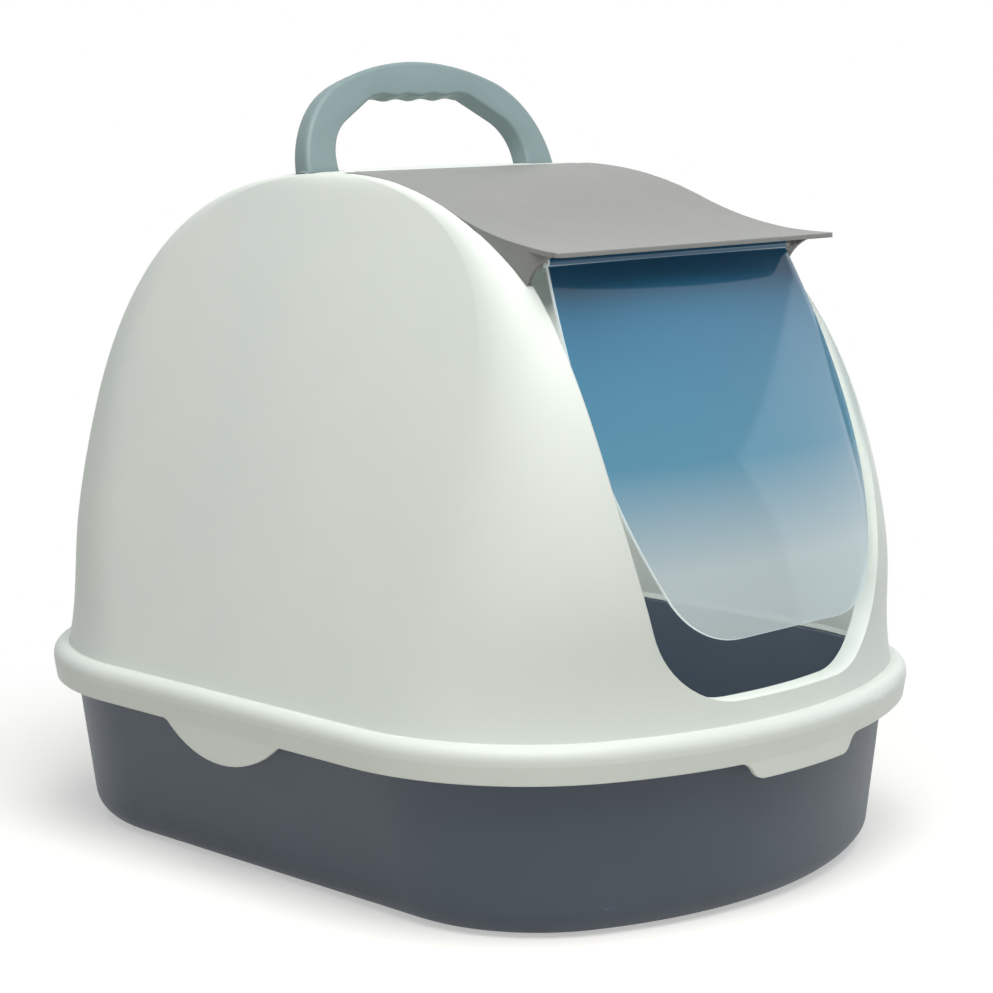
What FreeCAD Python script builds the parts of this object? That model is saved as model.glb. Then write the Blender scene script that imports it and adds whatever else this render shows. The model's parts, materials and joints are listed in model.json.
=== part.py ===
import FreeCAD, Part
import math
import os
from types import SimpleNamespace

import Sketcher

# Lengths are in millimetres, angles in degrees. The front of the box faces -Y,
# X runs across its width, and Z = 0 is the floor it stands on.
SIZES = {
    # Outline of the hood's rim seen from above: straight sides, bowed ends
    "rim_half_width": 196,
    "rim_half_length": 250,
    "rim_corner": 130,
    "rim_end_radius": 273,
    # Section of that rim
    "rim_bottom": 88,
    "rim_swell": 98,
    "rim_top": 107.5,
    "rim_draft": 1.5,
    "rim_shoulder": 7,
    "rim_step": 9,
    "rim_wall": 3.6,
    # Lifting tabs below the rim
    "front_tab_top": 50,
    "front_tab_bottom": 33,
    "front_tab_drop": 9.7,
    "side_tab_half": 46.6,
    "side_tab_drop": 18,
    "side_tab_fillet": 7,
    # Tray
    "tray_height": 103.7,
    "tray_foot_half_width": 163.5,
    "tray_foot_half_length": 228,
    "tray_foot_corner": 95,
    "tray_foot_end_radius": 252,
    "tray_lip_inset": 11.5,
    "tray_wall": 2.8,
    "tray_floor": 3.2,
    "tray_heel": 18,
    "tray_flange": 3,
    "tray_flange_gap": 0.8,
    "tray_flange_drop": 9,
    "tray_flange_lip": 2.4,
    "tray_recess": 1.2,
    "tray_recess_inset": 34,
    "tray_seat": 0.3,
    # Dome of the hood
    "dome_top": 386,
    "dome_lean_share": 0.303,
    "dome_front_power": 2.5,
    "dome_rear_power": 2.85,
    "dome_top_corner": 18,
    "dome_shoulder": 5,
    "dome_wall": 2.8,
    # Entrance in the front of the dome
    "door_sill": 119.3,
    "entry_half_width": 108.4,
    "entry_corner": 55,
    "entry_lean": 15,
    "entry_upright": 270,
    "entry_reach": 150,
    "entry_lip": 2.5,
    "entry_lip_depth": 12,
    # Flip-up visor
    "visor_axis_y": 4,
    "visor_axis_z": 383,
    "visor_barrel": 3,
    "visor_barrel_half": 88,
    "visor_wall": 2.6,
    "visor_run": 178,
    "visor_drop": 34.7,
    "visor_toe_y": -145,
    "visor_toe_z": 333,
    "visor_seam_radius": 240,
    "visor_scoop_radius": 26,
    "visor_seam_y": -80,
    "visor_rear_half": 97,
    "visor_toe_half": 107,
    "visor_bill_half": 114,
    "visor_corner": 5,
    "visor_gap": 0.4,
    "visor_back_gap": 0.8,
    "visor_pin": 1.5,
    "visor_pin_depth": 12,
    "visor_lug": 6,
    # Swinging door
    "door_axis_y": -149,
    "door_axis_z": 344.5,
    "door_tilt": 19.8,
    "door_half_width": 102,
    "door_drop": 208,
    "door_corner": 66,
    "door_side_lean": 15,
    "door_upright": 60,
    "door_wall": 2.2,
    "door_barrel": 3,
    "door_pin": 1.5,
    "door_pin_depth": 12,
    "door_boss": 4,
    "door_boss_gap": 1.2,
    # Carrying handle
    "handle_axis_y": 34,
    "handle_axis_z": 379,
    "handle_tilt": 17,
    "handle_half_span": 100,
    "handle_leg": 23.5,
    "handle_side_radius": 61,
    "handle_rise": 68.5,
    "handle_grip": 49,
    "handle_bump_pitch": 20,
    "handle_bump": 2.4,
    "handle_inner_radius": 55,
    "handle_inner_height": 4,
    "handle_depth": 13,
    "handle_round": 3,
    "handle_pin": 2,
    "handle_play": 0.7,
    "handle_well_half": 9.2,
    "handle_well_wall": 2,
    # Radial room of a turning pin
    "pin_play": 0.1,
}

# Heights of the dome's sections as shares of its rise up to the top shoulder
SECTION_SHARES = (0, 0.22, 0.42, 0.58, 0.71, 0.82, 0.91, 1)
# Points of the shoulder arc as shares of its radius: height and inset
SHOULDER_SHARES = ((0.5, 0.134), (0.866, 0.5))
# Left and right as seen by someone facing the front
SIDES = ((-1, "left"), (1, "right"))
# Planes of the side view (Y, Z) and the front view (X, Z)
SIDE = FreeCAD.Rotation(FreeCAD.Vector(1, 1, 1), 120)
FRONT = FreeCAD.Rotation(FreeCAD.Vector(1, 0, 0), 90)


class Size:
    """A number together with the sheet expression that gives it."""

    def __init__(self, value, text):
        self.value = value
        self.text = text

    def joined(self, sign, other, value):
        return Size(value, f"({self.text} {sign} {as_size(other).text})")

    def __add__(self, other):
        return self.joined("+", other, self.value + as_size(other).value)

    def __sub__(self, other):
        return self.joined("-", other, self.value - as_size(other).value)

    def __mul__(self, other):
        return self.joined("*", other, self.value * as_size(other).value)

    def __truediv__(self, other):
        return self.joined("/", other, self.value / as_size(other).value)

    def __pow__(self, other):
        return self.joined("^", other, self.value ** as_size(other).value)

    def __neg__(self):
        return Size(-self.value, f"(-1 * {self.text})")

    def __radd__(self, other):
        return as_size(other) + self

    def __rsub__(self, other):
        return as_size(other) - self

    def __rmul__(self, other):
        return as_size(other) * self


def as_size(item):
    return item if isinstance(item, Size) else Size(item, repr(item))


def turned(function, angle):
    """Sine, cosine or tangent of an angle, as a size."""
    value = getattr(math, function)(math.radians(angle.value))
    return Size(value, f"{function}({angle.text} * 1 deg)")


def number(item):
    return item.value if isinstance(item, Size) else item


def make_sheet(doc):
    sheet = doc.addObject("Spreadsheet::Sheet", "Sizes")
    for row, (name, value) in enumerate(SIZES.items(), 1):
        sheet.set(f"A{row}", name)
        sheet.set(f"B{row}", str(value))
        sheet.setAlias(f"B{row}", name)
    doc.recompute()
    return SimpleNamespace(**{name: Size(float(sheet.get(name)), f"Sizes.{name}") for name in SIZES})


def bowed_end(width, reach, corner, end):
    """Meeting point of an end arc and its corner arc, and the end of the straight side."""
    spread = end - corner
    rise = (spread ** 2 - (width - corner) ** 2) ** 0.5
    base = reach - end
    return end * (width - corner) / spread, base + end * rise / spread, base + rise


def oval(width, front, rear, front_corner, rear_corner, end):
    """Outline with straight sides, round corners and bowed ends."""
    front_x, front_y, front_side = bowed_end(width, front, front_corner, end)
    rear_x, rear_y, rear_side = bowed_end(width, rear, rear_corner, end)
    return [
        (width, -front_side),
        (width, rear_side, rear_corner, 1),
        (rear_x, rear_y, end, 1),
        (-rear_x, rear_y, rear_corner, 1),
        (-width, rear_side),
        (-width, -front_side, front_corner, 1),
        (-front_x, -front_y, end, 1),
        (front_x, -front_y, front_corner, 1),
    ]


def rim(s, inset):
    """The rim's outline, drawn in by an even distance."""
    length, corner = s.rim_half_length - inset, s.rim_corner - inset
    return oval(s.rim_half_width - inset, length, length, corner, corner, s.rim_end_radius - inset)


def foot(s, inset):
    """The tray's outline on the floor, drawn in by an even distance."""
    length, corner = s.tray_foot_half_length - inset, s.tray_foot_corner - inset
    width, end = s.tray_foot_half_width - inset, s.tray_foot_end_radius - inset
    return oval(width, length, length, corner, corner, end)


def bell(half_width, top, bottom, corner, cosine, sine, upright, arched=False):
    """Doorway outline: flat sill, round corners, sides that bend upright and, if arched, on inwards."""
    corner_end = bottom + corner - corner * sine
    side = (upright - corner_end) / sine
    corner_x = half_width - side + side * cosine
    flat = corner_x - corner * cosine
    top_x, bend = half_width, ()
    if arched:
        top_x, bend = half_width - side + (side ** 2 - (top - upright) ** 2) ** 0.5, (side, 1)
    return [
        (flat, bottom, corner, 1),
        (corner_x, corner_end, side, 1),
        (half_width, upright, *bend),
        (top_x, top),
        (-top_x, top, *bend),
        (-half_width, upright, side, 1),
        (-corner_x, corner_end, corner, 1),
        (-flat, bottom),
    ]


def segments(outline):
    """Start, end, radius and bend of each edge of a closed outline."""
    corners = [FreeCAD.Vector(number(corner[0]), number(corner[1]), 0) for corner in outline]
    for index, corner in enumerate(outline):
        radius, turn = corner[2:] or (0, 0)
        yield corners[index], corners[(index + 1) % len(corners)], number(radius), turn


def curve(start, end, radius, turn):
    """Line, or the shorter arc that bends left for turn 1 and right for turn -1."""
    if not turn:
        return Part.LineSegment(start, end)
    half = (end - start) / 2
    across = FreeCAD.Vector(-half.y, half.x, 0) * (turn / half.Length)
    centre = start + half + across * math.sqrt(radius ** 2 - half.Length ** 2)
    middle = centre - across * radius
    first, last = (start, end) if turn > 0 else (end, start)
    return Part.ArcOfCircle(first, middle, last)


def wire(outline, height=0):
    loop = Part.Wire([curve(*segment).toShape() for segment in segments(outline)])
    loop.translate(FreeCAD.Vector(0, 0, height))
    return loop


def bind(sketch, constraint, size):
    index = sketch.addConstraint(constraint)
    if isinstance(size, Size):
        sketch.setExpression(f"Constraints[{index}]", size.text)


def add_outline(sketch, outline):
    """Draw a closed outline and tie every corner and radius to the sheet."""
    first = sketch.GeometryCount
    ends = []
    for segment in segments(outline):
        sketch.addGeometry(curve(*segment), False)
        ends.append((1, 2) if segment[3] >= 0 else (2, 1))
    for index, corner in enumerate(outline):
        edge, previous = first + index, first + (index - 1) % len(outline)
        start = ends[index][0]
        sketch.addConstraint(Sketcher.Constraint("Coincident", previous, ends[index - 1][1], edge, start))
        for kind, size in zip(("DistanceX", "DistanceY"), corner):
            bind(sketch, Sketcher.Constraint(kind, -1, 1, edge, start, number(size)), size)
        if len(corner) > 2:
            bind(sketch, Sketcher.Constraint("Radius", edge, number(corner[2])), corner[2])


def add_circle(sketch, radius):
    """Draw a circle round the sketch's origin."""
    circle = Part.Circle(FreeCAD.Vector(), FreeCAD.Vector(0, 0, 1), radius.value)
    edge = sketch.addGeometry(circle, False)
    sketch.addConstraint(Sketcher.Constraint("Coincident", edge, 3, -1, 1))
    bind(sketch, Sketcher.Constraint("Radius", edge, radius.value), radius)


def new_sketch(body, name, role, outlines=(), offset=None):
    sketch = body.newObject("Sketcher::SketchObject", name)
    base = next(plane for plane in body.Origin.OriginFeatures if plane.Role == role)
    sketch.AttachmentSupport = [(base, "")]
    sketch.MapMode = "FlatFace"
    if offset is not None:
        sketch.setExpression("AttachmentOffset.Base.z", offset.text)
    for outline in outlines:
        add_outline(sketch, outline)
    return sketch


def disc(body, name, radius, offset=None):
    sketch = new_sketch(body, name, "YZ_Plane", offset=offset)
    add_circle(sketch, radius)
    return sketch


def extruded(body, kind, sketch, length, symmetric=False, backward=False):
    """Pad or Pocket of a sketch, its length tied to the sheet."""
    feature = body.newObject(f"PartDesign::{kind}", f"{sketch.Name}_{kind.lower()}")
    feature.Profile = sketch
    feature.setExpression("Length", length.text)
    feature.SideType = "Symmetric" if symmetric else "One side"
    feature.Reversed = backward
    body.Document.recompute()
    return feature


def lofted(body, kind, sketch, other):
    feature = body.newObject(f"PartDesign::{kind}", f"{sketch.Name}_loft")
    feature.Profile = sketch
    feature.Sections = [other]
    feature.Ruled = True
    body.Document.recompute()
    return feature


def rounded(body, name, radius, wanted):
    """Fillet of the body's edges that pass a test."""
    feature = body.newObject("PartDesign::Fillet", name)
    base = body.Tip if body.Tip != feature else feature.BaseFeature
    edges = [f"Edge{i}" for i, edge in enumerate(base.Shape.Edges, 1) if wanted(edge.BoundBox)]
    feature.Base = (base, edges)
    feature.setExpression("Radius", radius.text)
    body.Document.recompute()
    return feature


def near(one, other):
    return math.isclose(one, other, abs_tol=Part.Precision.approximation() * 100)


def make_tray(doc, s):
    """Open pan with leaning walls, a round heel and a turned-down flange."""
    body = doc.addObject("PartDesign::Body", "litter_tray")
    base = new_sketch(body, "tray_base", "XY_Plane", [foot(s, Size(0, "0"))])
    lip = new_sketch(body, "tray_lip", "XY_Plane", [rim(s, s.tray_lip_inset)], s.tray_height)
    lofted(body, "AdditiveLoft", base, lip)
    mouth_inset = s.tray_lip_inset + s.tray_wall
    floor = new_sketch(body, "tray_well", "XY_Plane", [foot(s, s.tray_wall)], s.tray_floor)
    mouth = new_sketch(body, "tray_mouth", "XY_Plane", [rim(s, mouth_inset)], s.tray_height)
    lofted(body, "SubtractiveLoft", floor, mouth)
    rounded(body, "tray_well_heel", s.tray_heel - s.tray_wall,
            lambda box: near(box.ZMin, s.tray_floor.value) and near(box.ZMax, s.tray_floor.value))
    rounded(body, "tray_heel", s.tray_heel, lambda box: near(box.ZMax, 0))
    edge = s.rim_wall + s.tray_flange_gap
    rings = (("tray_flange", mouth_inset, s.tray_flange), ("tray_curl", edge + s.tray_flange_lip, s.tray_flange_drop))
    for name, inner, depth in rings:
        ring = new_sketch(body, name, "XY_Plane", [rim(s, edge), rim(s, inner)], s.tray_height)
        extruded(body, "Pad", ring, depth, backward=True)
    recess = new_sketch(body, "tray_recess", "XY_Plane", [foot(s, s.tray_recess_inset)])
    extruded(body, "Pocket", recess, s.tray_recess, backward=True)
    return body


def hung(body, axis_y, axis_z, tilt, way):
    """Set a body that was drawn round its hinge axis at that axis, leaning by its tilt."""
    turn = FreeCAD.Rotation(FreeCAD.Vector(way, 0, 0), tilt.value)
    body.Placement = FreeCAD.Placement(FreeCAD.Vector(0, axis_y.value, axis_z.value), turn)
    body.setExpression("Placement.Base.y", axis_y.text)
    body.setExpression("Placement.Base.z", axis_z.text)
    body.setExpression("Placement.Rotation.Angle", f"{tilt.text} * 1 deg")


def make_door(doc, s):
    """Clear flap with a round hinge barrel along its top edge."""
    body = doc.addObject("PartDesign::Body", "door_flap")
    sheet = bell(s.door_half_width, Size(0, "0"), -s.door_drop, s.door_corner,
                 turned("cos", s.door_side_lean), turned("sin", s.door_side_lean), -s.door_upright)
    extruded(body, "Pad", new_sketch(body, "door_sheet", "XZ_Plane", [sheet]), s.door_wall, symmetric=True)
    extruded(body, "Pad", disc(body, "door_barrel", s.door_barrel), s.door_half_width * 2, symmetric=True)
    for side, name in SIDES:
        bore = disc(body, f"door_bore_{name}", s.door_pin + s.pin_play, s.door_half_width * side)
        extruded(body, "Pocket", bore, s.door_pin_depth, backward=side < 0)
    hung(body, s.door_axis_y, s.door_axis_z, s.door_tilt, -1)
    return body


def handle_outline(s):
    """Arch with a gently crowned top, necked legs and finger bumps under the grip."""
    zero, span, inner = Size(0, "0"), s.handle_half_span, s.handle_half_span - s.handle_leg
    rise, side = s.handle_rise, s.handle_side_radius
    side_x = span - side
    top = (side_x ** 2 + rise ** 2 - side ** 2) / ((rise - side) * 2)
    reach = top / (top - side)
    join = (side_x * reach, (rise - top) * (1 - reach))
    bump = (s.handle_bump_pitch ** 2 / 4 + s.handle_bump ** 2) / (s.handle_bump * 2)
    bumps = [(s.handle_bump_pitch * step, s.handle_grip, bump, 1) for step in range(-2, 2)]
    grip_end = s.handle_bump_pitch * 2
    return [
        (span, zero, side, 1),
        (*join, top, 1),
        (-join[0], join[1], side, 1),
        (-span, zero),
        (-inner, zero),
        (-inner, s.handle_inner_height, s.handle_inner_radius, -1),
        *bumps,
        (grip_end, s.handle_grip, s.handle_inner_radius, -1),
        (inner, s.handle_inner_height),
        (inner, zero),
    ]


def make_handle(doc, s):
    """Carrying handle, drawn upright round its pivot axis."""
    body = doc.addObject("PartDesign::Body", "carry_handle")
    arch = new_sketch(body, "handle_arch", "XZ_Plane", [handle_outline(s)])
    extruded(body, "Pad", arch, s.handle_depth, symmetric=True)
    rounded(body, "handle_edges", s.handle_round, lambda box: near(box.YMin, box.YMax)
            and box.ZMax > s.handle_grip.value + s.handle_bump.value)
    for side, name in SIDES:
        heel = disc(body, f"handle_heel_{name}", s.handle_depth / 2, s.handle_half_span * side)
        extruded(body, "Pad", heel, s.handle_leg, backward=side > 0)
    bore = disc(body, "handle_bore", s.handle_pin + s.pin_play)
    extruded(body, "Pocket", bore, s.handle_half_span * 3, symmetric=True)
    hung(body, s.handle_axis_y, s.handle_axis_z, s.handle_tilt, -1)
    return body


def visor_pin_ends(s):
    """Inner and outer end of a pin that joins the visor to the hood."""
    half, depth = s.visor_barrel_half, s.visor_pin_depth
    return half - depth + s.visor_gap, half + s.visor_gap + s.visor_lug


def door_pin_ends(s):
    """Inner and outer end of a pin that joins the door to the visor."""
    return s.door_half_width - s.door_pin_depth + s.visor_gap, s.visor_toe_half - s.visor_wall / 2


def handle_pin_ends(s):
    """Inner and outer end of a pin that joins the handle to the hood."""
    reach = s.handle_play + s.handle_well_wall
    return s.handle_half_span - s.handle_leg - reach, s.handle_half_span + reach


def side_width(s, height):
    """Half width of the leaning side walls at a height."""
    return s.rim_half_width - s.rim_step - s.dome_lean_share * (height - s.rim_top)


def prism(outline, turn, start, end):
    """Solid of an outline in a turned plane, between two depths along its normal."""
    normal = turn.multVec(FreeCAD.Vector(0, 0, 1))
    face = Part.Face(wire(outline))
    face.rotate(FreeCAD.Vector(), turn.Axis, math.degrees(turn.Angle))
    face.translate(normal * start)
    return face.extrude(normal * (end - start))


def rod(radius, y, z, start, end):
    """Cylinder along X."""
    return Part.makeCylinder(radius, end - start, FreeCAD.Vector(start, y, z), FreeCAD.Vector(1, 0, 0))


def block(x, y, z):
    """Box between two limits on each axis."""
    size = [limits[1] - limits[0] for limits in (x, y, z)]
    return Part.makeBox(*size, FreeCAD.Vector(x[0], y[0], z[0]))


def dome_outline(n, height, share, wall, aside):
    """Section of the dome at a height, that height being a share of its whole rise."""
    reach = n.rim_half_length - n.rim_step - wall
    front = reach * (1 - share ** n.dome_front_power) ** (1 / n.dome_front_power)
    rear = reach * (1 - share ** n.dome_rear_power) ** (1 / n.dome_rear_power)
    fade = n.rim_corner - n.rim_step - n.dome_top_corner
    corner = n.dome_top_corner + fade * (1 - share) - wall
    width = side_width(n, n.rim_top + height) - wall - aside
    return oval(width, front, rear, corner, corner, n.rim_end_radius - n.rim_step - wall)


def dome(n, wall):
    """The hood's dome as a solid, drawn in by a wall's thickness."""
    rise = n.dome_top - n.rim_top - wall
    foot = rise - n.dome_shoulder
    levels = [(share * foot, 0) for share in SECTION_SHARES]
    levels += [(foot + up * n.dome_shoulder, aside * n.dome_shoulder) for up, aside in SHOULDER_SHARES]
    sections = [wire(dome_outline(n, height, height / rise, wall, aside), n.rim_top + height)
                for height, aside in levels]
    return Part.makeLoft(sections, True, False)


def rim_band(n):
    """The hood's rim as a solid: a drafted skirt with a round shoulder."""
    skirt = Part.makeLoft([wire(rim(n, n.rim_draft), n.rim_bottom), wire(rim(n, 0), n.rim_swell)], True, True)
    collar = Part.Face(wire(rim(n, 0), n.rim_swell)).extrude(FreeCAD.Vector(0, 0, n.rim_top - n.rim_swell))
    upper = [edge for edge in collar.Edges if near(edge.BoundBox.ZMin, n.rim_top)]
    return skirt.fuse(collar.makeFillet(n.rim_shoulder, upper))


def front_tab(n):
    """Outline of the front tab: a flat foot with S-shaped sides."""
    top, low = n.rim_bottom, n.rim_bottom - n.front_tab_drop
    wide, narrow = n.front_tab_top, n.front_tab_bottom
    bend = ((wide - narrow) ** 2 + n.front_tab_drop ** 2) / (n.front_tab_drop * 4)
    middle = ((wide + narrow) / 2, (top + low) / 2)
    return [
        (-narrow, low),
        (narrow, low, bend, 1),
        (*middle, bend, -1),
        (wide, top),
        (-wide, top, bend, -1),
        (-middle[0], middle[1], bend, 1),
    ]


def side_tab(n):
    """Outline of a side tab: an arc below the rim with a small fillet at each end."""
    top, drop, fillet = n.rim_bottom, n.side_tab_drop, n.side_tab_fillet
    bow = (n.side_tab_half ** 2 + drop ** 2) / (drop * 2)
    fall = bow - drop + fillet
    end = math.sqrt((bow + fillet) ** 2 - fall ** 2)
    share = bow / (bow + fillet)
    meet_x, meet_z = end * share, top - drop + bow - fall * share
    return [(-end, top, fillet, -1), (-meet_x, meet_z, bow, 1), (meet_x, meet_z, fillet, -1), (end, top)]


def tabs(n):
    """Lifting tabs that hang from the rim at the front and on both sides."""
    deep = Part.Face(wire(rim(n, n.rim_draft), n.rim_bottom - n.side_tab_drop))
    curtain = deep.extrude(FreeCAD.Vector(0, 0, n.side_tab_drop))
    width, length = n.rim_half_width, n.rim_half_length
    front = curtain.common(prism(front_tab(n), FRONT, 0, length))
    return front.fuse(curtain.common(prism(side_tab(n), SIDE, -width, width)))


def entrance(n, grow):
    """Doorway through the front of the dome, drawn larger by a distance."""
    lean = math.radians(n.entry_lean)
    outline = bell(n.entry_half_width + grow, n.dome_top, n.door_sill - grow, n.entry_corner + grow,
                   math.cos(lean), math.sin(lean), n.entry_upright, arched=True)
    return prism(outline, FRONT, n.rim_half_length - n.entry_reach, n.rim_half_length)


def entrance_lip(n, solid):
    """Return edge round the doorway that follows the front of the dome."""
    deeper = solid.translated(FreeCAD.Vector(0, n.entry_lip_depth, 0))
    return entrance(n, n.entry_lip).cut(entrance(n, 0)).common(solid).cut(deeper)


def visor_top(n, depth):
    """The visor's S-shaped top seen from the side, at a depth below its surface, rear to front."""
    run, drop, top = n.visor_run, n.visor_drop, n.visor_axis_z + n.visor_barrel
    radius = (run ** 2 + drop ** 2) / (drop * 4)
    slope = math.asin(run / (radius * 2))
    middle_y = n.visor_axis_y - run / 2 + depth * math.sin(slope)
    middle_z = top - drop / 2 - depth * math.cos(slope)
    return [
        (n.visor_axis_y, top - depth, radius - depth, 1),
        (middle_y, middle_z, radius + depth, -1),
        (n.visor_axis_y - run, top - drop - depth),
    ]


def backward(points):
    """The same open run of edges, walked from its other end."""
    bends = [(corner[2], -corner[3]) for corner in points[-2::-1]]
    return [(*corner[:2], *bend) for corner, bend in zip(points[::-1], [*bends, ()])]


def seam(n, gap):
    """Edge between the skirts and the hood's sides, toe to rear, lowered by a gap."""
    rear, *_ = visor_top(n, 0)
    radius = rear[2]
    height = rear[1] - radius + math.sqrt(radius ** 2 - (rear[0] - n.visor_seam_y) ** 2)
    return [(n.visor_toe_y, n.visor_toe_z - gap, n.visor_seam_radius, -1), (n.visor_seam_y, height)]


def visor_plan(n, grow):
    """The visor seen from above, drawn larger by a distance."""
    rear, front = n.visor_axis_y, n.visor_axis_y - n.visor_run
    sizes = ((n.visor_rear_half, rear), (n.visor_toe_half, n.visor_toe_y), (n.visor_bill_half, front))
    right = [(half + grow, y) for half, y in sizes]
    return [*right[::-1], *((-x, y) for x, y in right)]


def visor_room(n):
    """Spaces that the hood leaves free for the visor: between its sides, and above the seam."""
    top, front = n.dome_top + n.rim_step, -n.rim_half_length
    back = n.visor_axis_y + n.visor_barrel + n.visor_back_gap
    under = visor_top(n, n.visor_wall + n.visor_gap)
    inside = [*backward(under), (back, under[0][1]), (back, top), (under[2][0], top)]
    between = prism(visor_plan(n, n.visor_gap), FreeCAD.Rotation(), n.rim_top, top)
    roof, rear_half = n.dome_top - n.dome_wall * 2, n.visor_rear_half + n.visor_gap
    hatch = prism(visor_plan(n, n.visor_gap), FreeCAD.Rotation(), roof, top)
    strip = block((-rear_half, rear_half), (n.visor_axis_y, back), (roof, top))
    toe, rise = seam(n, n.visor_gap)
    rear, *_ = visor_top(n, 0)
    above = [toe, (*rise, rear[2], -1), rear[:2], (back, rear[1]), (back, top), (front, top), (front, toe[1])]
    width = n.rim_half_width
    return [prism(inside, SIDE, -width, width).common(between), hatch, strip, prism(above, SIDE, -width, width)]


def hinge_lugs(n):
    """Bearings under the hood's roof that hold the visor's hinge pins."""
    inner = n.visor_barrel_half + n.visor_gap
    outer = inner + n.visor_lug
    y, z, radius = n.visor_axis_y, n.visor_axis_z, n.visor_barrel - n.pin_play
    back = y + n.visor_barrel + n.visor_back_gap + n.visor_lug
    lugs = []
    for side, _ in SIDES:
        x = sorted((side * inner, side * outer))
        arm = block(x, (y, back), (z - radius, n.dome_top - n.dome_wall / 2))
        slot = block(x, (y, y + n.visor_barrel + n.visor_back_gap), (z + radius, n.dome_top))
        lugs.append(rod(radius, y, z, *x).fuse(arm.cut(slot)))
    return lugs


def handle_wells(n, solid):
    """Cups in the hood's roof for the handle's feet, and the room inside them."""
    play, wall, y, z = n.handle_play, n.handle_well_wall, n.handle_axis_y, n.handle_axis_z
    cups, rooms = [], []
    for side, _ in SIDES:
        inner, outer = n.handle_half_span - n.handle_leg - play, n.handle_half_span + play
        depth, half = n.handle_depth / 2 + play, n.handle_well_half
        x, thick_x = sorted((side * inner, side * outer)), sorted((side * (inner - wall), side * (outer + wall)))
        rooms.append(block(x, (y - half, y + half), (z - depth, n.dome_top + wall)))
        thick_y = (y - half - wall, y + half + wall)
        cups.append(block(thick_x, thick_y, (z - depth - wall, n.dome_top)).common(solid))
    return cups, rooms


def hood_shape(n):
    """Dome, rim and tabs hollowed out, with the doorway, the visor's room and the hinge seats."""
    solid = dome(n, 0)
    base = dome_outline(n, 0, 0, n.dome_wall, 0)
    low = n.rim_bottom - n.side_tab_drop
    neck = Part.Face(wire(base, low)).extrude(FreeCAD.Vector(0, 0, n.rim_top - low))
    ledge = n.tray_height + n.tray_seat
    socket = Part.Face(wire(rim(n, n.rim_wall), low)).extrude(FreeCAD.Vector(0, 0, ledge - low))
    shell = rim_band(n).fuse(solid).fuse(tabs(n))
    for room in (dome(n, n.dome_wall), neck, socket, entrance(n, 0)):
        shell = shell.cut(room)
    cups, rooms = handle_wells(n, solid)
    shell = shell.fuse([entrance_lip(n, solid), *cups]).cut(rooms).cut(visor_room(n))
    shell = shell.fuse(hinge_lugs(n))
    pins = []
    for side, _ in SIDES:
        handle, visor = handle_pin_ends(n), visor_pin_ends(n)
        pins.append(rod(n.handle_pin, n.handle_axis_y, n.handle_axis_z, *sorted(side * end for end in handle)))
        pins.append(rod(n.visor_pin, n.visor_axis_y, n.visor_axis_z, *sorted(side * end for end in visor)))
    return shell.cut(pins).removeSplitter()


def visor_corners(n):
    """Material outside the round front corners of the bill."""
    front, radius = n.visor_axis_y - n.visor_run, n.visor_corner
    low, high, width = n.rim_top, n.dome_top, n.visor_bill_half
    cutters = []
    for side, _ in SIDES:
        x = sorted((side * (width - radius), side * (width + radius)))
        centre = FreeCAD.Vector(side * (width - radius), front + radius, low)
        corner = block(x, (front - radius, front + radius), (low, high))
        cutters.append(corner.cut(Part.makeCylinder(radius, high - low, centre)))
    return cutters


def skirts(n):
    """Side walls between the bill and the hood's sides."""
    top, under = visor_top(n, 0), visor_top(n, n.visor_wall)
    bill = (*under[2][:2], n.visor_scoop_radius, -1)
    toe, rise = seam(n, 0)
    wedge = [bill, toe, (*rise, top[0][2], 1), *top[1:]]
    rear, front, wall = n.visor_axis_y, n.visor_axis_y - n.visor_run, n.visor_wall
    splay_share = (n.visor_toe_half - n.visor_rear_half) / (rear - n.visor_toe_y)
    front_half = n.visor_rear_half + splay_share * n.visor_run
    walls = []
    for side, _ in SIDES:
        outline = [(front_half, front), (n.visor_rear_half, rear), (n.visor_rear_half - wall, rear),
                   (front_half - wall, front)]
        strip = prism([(side * x, y) for x, y in outline], FreeCAD.Rotation(), n.rim_top, n.dome_top)
        walls.append(prism(wedge, SIDE, -n.rim_half_width, n.rim_half_width).common(strip))
    return walls


def visor_shape(n):
    """Bill with an S-shaped top and two side skirts, hinged on a barrel along its rear edge."""
    width, y, z = n.rim_half_width, n.visor_axis_y, n.visor_axis_z
    half, radius = n.visor_barrel_half, n.visor_barrel
    sheet = prism([*visor_top(n, 0), *backward(visor_top(n, n.visor_wall))], SIDE, -width, width)
    plan = prism(visor_plan(n, 0), FreeCAD.Rotation(), n.rim_top, n.dome_top)
    clear = radius + n.visor_back_gap
    notches = [block(sorted((side * half, side * width)), (y - clear, y + clear), (z - clear, z + clear))
               for side, _ in SIDES]
    pin_start, pin_end = door_pin_ends(n)
    bore = n.visor_pin + n.pin_play
    bosses, bores = [], []
    for side, _ in SIDES:
        boss = sorted((side * (n.door_half_width + n.door_boss_gap), side * pin_end))
        bosses.append(rod(n.door_boss, n.door_axis_y, n.door_axis_z, *boss))
        bores.append(rod(bore, y, z, *sorted((side * half, side * (half - n.visor_pin_depth)))))
        bores.append(rod(n.door_pin, n.door_axis_y, n.door_axis_z, *sorted((side * pin_start, side * pin_end))))
    shell = sheet.common(plan).cut(visor_corners(n) + notches)
    return shell.fuse([*skirts(n), rod(radius, y, z, -half, half), *bosses]).cut(bores).removeSplitter()


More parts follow.
